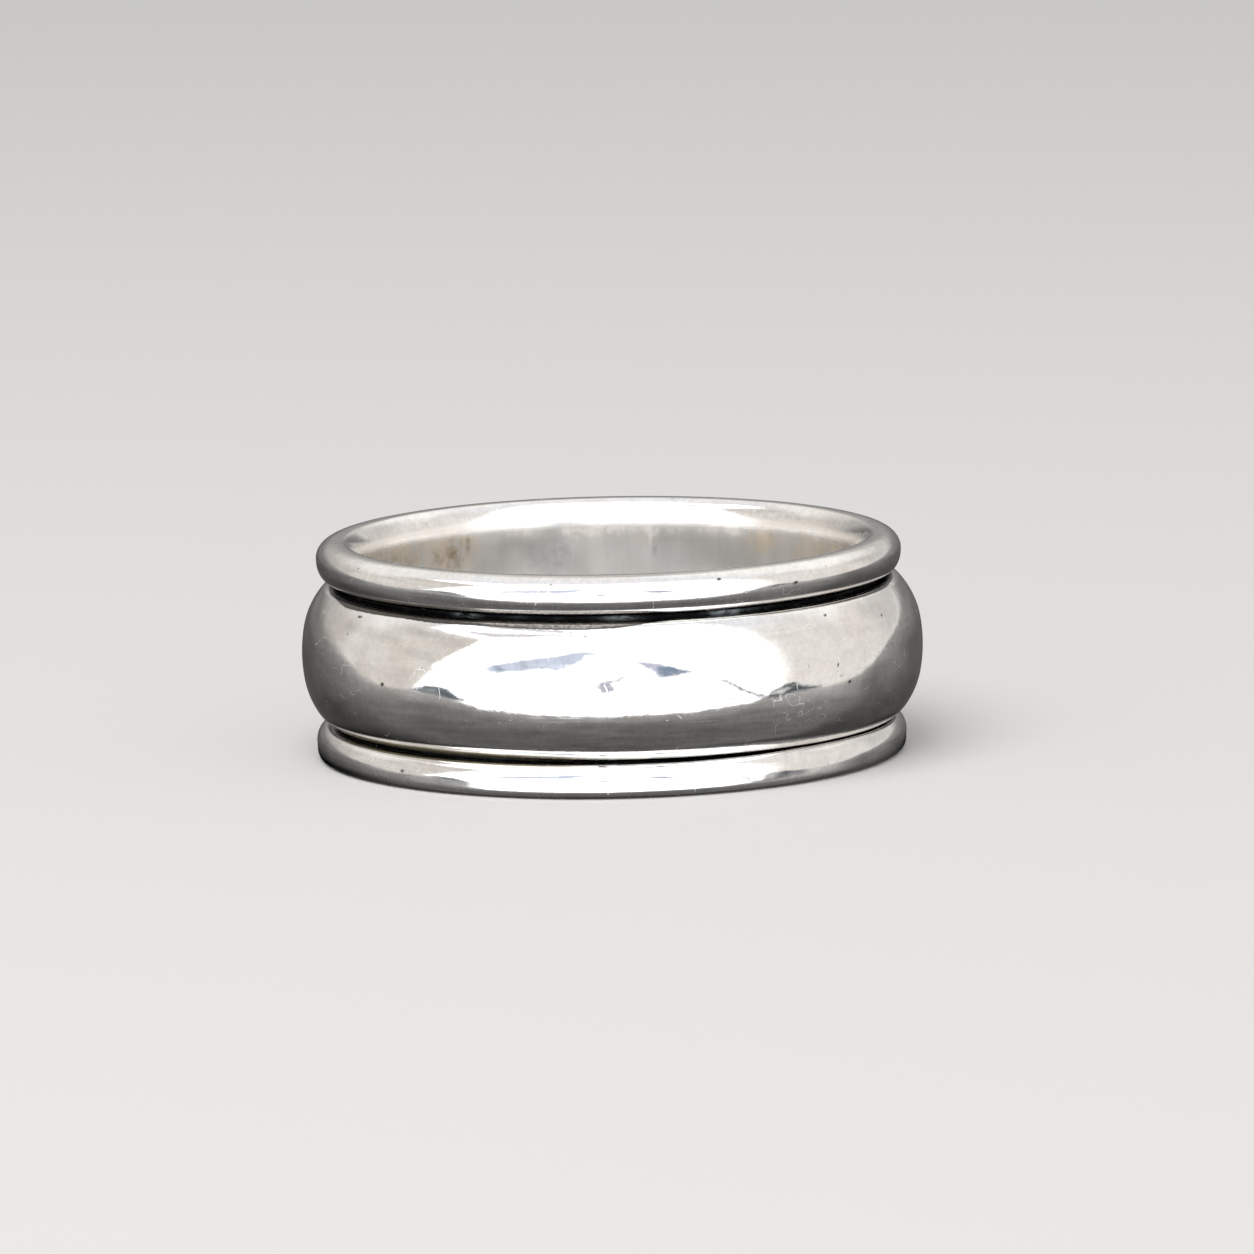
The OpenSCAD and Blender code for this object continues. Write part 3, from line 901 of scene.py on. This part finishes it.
def mirroredColours(azimuth, elevation):
    # Colour = walls, then the ceiling, the softbox and the cards laid over them, then the ground below
    def over(under, share, colour):
        return under + (np.array(colour) - under) * share[..., None]

    def lookUp(title, values):
        return np.interp(values, *np.array(mirrored[title]).T)

    shape = azimuth.shape
    above, edge = elevation - lookUp("groundLine", azimuth), lookUp("groundEdge", azimuth)
    colour = mirrored["walls"] * mottled(shape, *mirrored["wallMottle"])[..., None]
    toTheRight = smoothShare(azimuth, *mirrored["rightStart"]) * fadeOut(azimuth, *mirrored["rightEnd"])
    colour = over(colour, toTheRight, mirrored["wallsRight"])
    colour = colour * lookUp("wallLevels", azimuth)[..., None]
    colour = over(colour, smoothShare(elevation, *mirrored["ceilingStart"]), mirrored["ceiling"])
    glow = np.exp(-(above / mirrored["glowHeight"]) ** 2) * smoothShare(azimuth, *mirrored["glowStart"])
    colour = colour + glow[..., None] * mirrored["horizonGlow"]
    box = insideOutline(azimuth, elevation, mirrored["boxOutline"], mirrored["boxSoftness"])
    box *= fadeOut(azimuth, *mirrored["boxFade"]) * fadeOut(elevation, *mirrored["boxTop"])
    colour = over(colour, box, mirrored["softbox"])
    for corners, card, soft in mirrored["cards"]:
        colour = over(colour, insideOutline(azimuth, elevation, corners, soft), card)
    front, back = lookUp("frontTones", -above), lookUp("backTones", -above)
    tone = front + (back - front) * smoothShare(np.abs(azimuth), *mirrored["backStart"])
    tone = tone * lookUp("groundSides", azimuth) * mottled(shape, *mirrored["groundMottle"])
    return over(colour, fadeOut(above, -edge, edge), tone[..., None] * mirrored["groundTint"])


def mirroredOnly(name, spots, colours, shaderKind):
    # A grid with a colour at each point and a shader that shows it, which nothing but mirroring sees
    mesh = gridMesh(name, spots, False)[0]
    rgba = np.concatenate([colours, np.ones((*colours.shape[:2], 1))], axis=2).astype(np.float32)
    mesh.attributes.new("tint", "FLOAT_COLOR", "POINT").data.foreach_set("color", rgba.ravel())
    material, tree = emptyMaterial(name)
    tint = addNode(tree, "Attribute", attribute_name="tint", result="Color")
    addNode(tree, "OutputMaterial", {0: addNode(tree, shaderKind, {"Color": tint})}, None)
    material.cycles.emission_sampling = "NONE"  # only a mirrored ray that hits it finds its light
    made = placed(mesh, material)
    made.visible_camera = made.visible_diffuse = made.visible_shadow = False
    print("made", name)


def buildMirroredLight():
    # radius * (cos(elevation) sin(azimuth), -cos(elevation) cos(azimuth), sin(elevation))
    azimuth, elevation = np.meshgrid(np.linspace(-180, 180, mirrored["columns"], endpoint=False),
                                     np.linspace(-mirrored["highest"], mirrored["highest"], mirrored["rows"]))
    turn, rise = np.radians(azimuth), np.radians(elevation)
    away = np.stack([np.cos(rise) * np.sin(turn), -np.cos(rise) * np.cos(turn), np.sin(rise)], axis=2)
    mirroredOnly("mirroredLight", away * mirrored["radius"], mirroredColours(azimuth, elevation), "Emission")


# The silver also mirrors the floor close by, which lies in the ring's own shade

footShade = {
    "height": 0.005 * mm,
    "footRadius": 10.63 * mm,
    # How dark it is, by distance from the foot in mm times a stretch, and by turn
    "byDistance": [(0, 1), (0.8, 1), (1.4, 0.75), (2, 0.4), (3, 0.1), (4, 0)],
    "stretchByTurn": [(-180, 2), (-80, 2), (-50, 1.14), (-30, 1.05), (30, 1.05), (50, 1.14), (80, 2),
                      (180, 2)],
    "byTurn": [(-180, 1), (-78, 1), (-66, 0.8), (-52, 0.4), (-42, 0.15), (-30, 0), (36, 0), (42, 0.05),
               (57, 0.12), (64, 0.2), (71, 0.35), (79, 0.6), (90, 1), (180, 1)],
    "reach": 4.0 * mm,
    "rows": 40,
    "columns": 180,
}


def buildFootShade():
    # A flat ring round the foot that lets through 1 - byDistance(distance * stretch) * byTurn
    away = np.linspace(0, footShade["reach"], footShade["rows"])
    section = np.stack([footShade["footRadius"] + away, away * 0 + footShade["height"]], axis=1)
    spots, _, turn = revolvedGrid(section, 0.0, footShade["columns"])
    stretched = away[:, None] / mm * byTurn(footShade["stretchByTurn"], turn)
    dark = np.interp(stretched, *np.array(footShade["byDistance"]).T) * byTurn(footShade["byTurn"], turn)
    clear = 1 - dark
    mirroredOnly("footShade", spots, np.stack([clear, clear, clear], axis=2), "BsdfTransparent")


# Studio: a pale floor under a soft lamp

studio = {
    "floorColour": (0.60, 0.595, 0.585),
    "floorRoughness": 0.9,
    "floorGloss": 0.1,
    "floorSize": 3.0,
    "backdrop": (0.78, 0.775, 0.765),
    "lampPlace": (-0.12, -0.22, 0.42),
    "lampSize": 0.35,
    "lampWatts": 1.6,
}


def buildStudio():
    # A square floor, an even backdrop and a lamp that faces the ring
    size = studio["floorSize"] / 2
    mesh = bpy.data.meshes.new("floor")
    corners = [(-size, -size, 0), (size, -size, 0), (size, size, 0), (-size, size, 0)]
    mesh.from_pydata(corners, [], [(0, 1, 2, 3)])
    paint = bpy.data.materials.new("floorPaint")
    paint.use_nodes = True
    shader = paint.node_tree.nodes["Principled BSDF"]
    shader.inputs["Base Color"].default_value = (*studio["floorColour"], 1)
    shader.inputs["Roughness"].default_value = studio["floorRoughness"]
    shader.inputs["Specular IOR Level"].default_value = studio["floorGloss"]
    floor = placed(mesh, paint)
    floor.visible_glossy = False  # the silver mirrors the shell's dark ground instead
    world = bpy.data.worlds.new("backdrop")
    world.use_nodes = True
    world.node_tree.nodes["Background"].inputs["Color"].default_value = (*studio["backdrop"], 1)
    bpy.context.scene.world = world
    data = bpy.data.lights.new("softLamp", "AREA")
    data.size, data.energy = studio["lampSize"], studio["lampWatts"]
    lamp = bpy.data.objects.new("softLamp", data)
    lamp.location = studio["lampPlace"]
    lamp.rotation_euler = Vector(studio["lampPlace"]).to_track_quat("Z", "Y").to_euler()
    lamp.visible_glossy = lamp.visible_camera = False
    bpy.context.scene.collection.objects.link(lamp)
    print("made the studio")


# Camera, on the near side and a little above the ring

photoView = {
    "distance": 330 * mm,
    "elevationDeg": 8.95,
    "rollDeg": 1.14,
    "frameSide": 1254,  # pixels
    "focalPixels": 8910,
    "ringFromMiddle": (-16.9, -14.5),  # pixels right and up
    "aimHeight": 4.05 * mm,
    "sensor": 36.0,
    "nearest": 0.01,
    "farthest": 20,
}


def buildCamera():
    # The camera stands at aim + back * distance, and looks at the point that brings the aim to its pixel
    up = np.radians(photoView["elevationDeg"])
    roll = np.radians(photoView["rollDeg"])
    aim = Vector((0, 0, photoView["aimHeight"]))
    back = Vector((0, -np.cos(up), np.sin(up)))
    level, rise = Vector((1, 0, 0)), Vector((0, np.sin(up), np.cos(up)))
    right = level * np.cos(roll) - rise * np.sin(roll)
    above = level * np.sin(roll) + rise * np.cos(roll)
    distance, focal = photoView["distance"], photoView["focalPixels"]
    place = aim + back * distance
    offX, offY = photoView["ringFromMiddle"]
    target = aim - (right * offX + above * offY) * (distance / focal)
    back = (place - target).normalized()
    right = above.cross(back).normalized()
    above = back.cross(right)
    data = bpy.data.cameras.new("photoCamera")
    data.sensor_width = photoView["sensor"]
    data.lens = photoView["sensor"] * focal / photoView["frameSide"]
    data.clip_start, data.clip_end = photoView["nearest"], photoView["farthest"]
    camera = bpy.data.objects.new("photoCamera", data)
    camera.matrix_world = Matrix.Translation(place) @ Matrix([right, above, back]).transposed().to_4x4()
    bpy.context.scene.collection.objects.link(camera)
    bpy.context.scene.camera = camera
    print("made the camera")


buildCamera()
buildMirroredLight()
buildFootShade()
buildStudio()
buildSleeve()
buildLooseBand()

scene = bpy.context.scene
scene.view_settings.view_transform = "Standard"
scene.cycles.glossy_bounces = 8
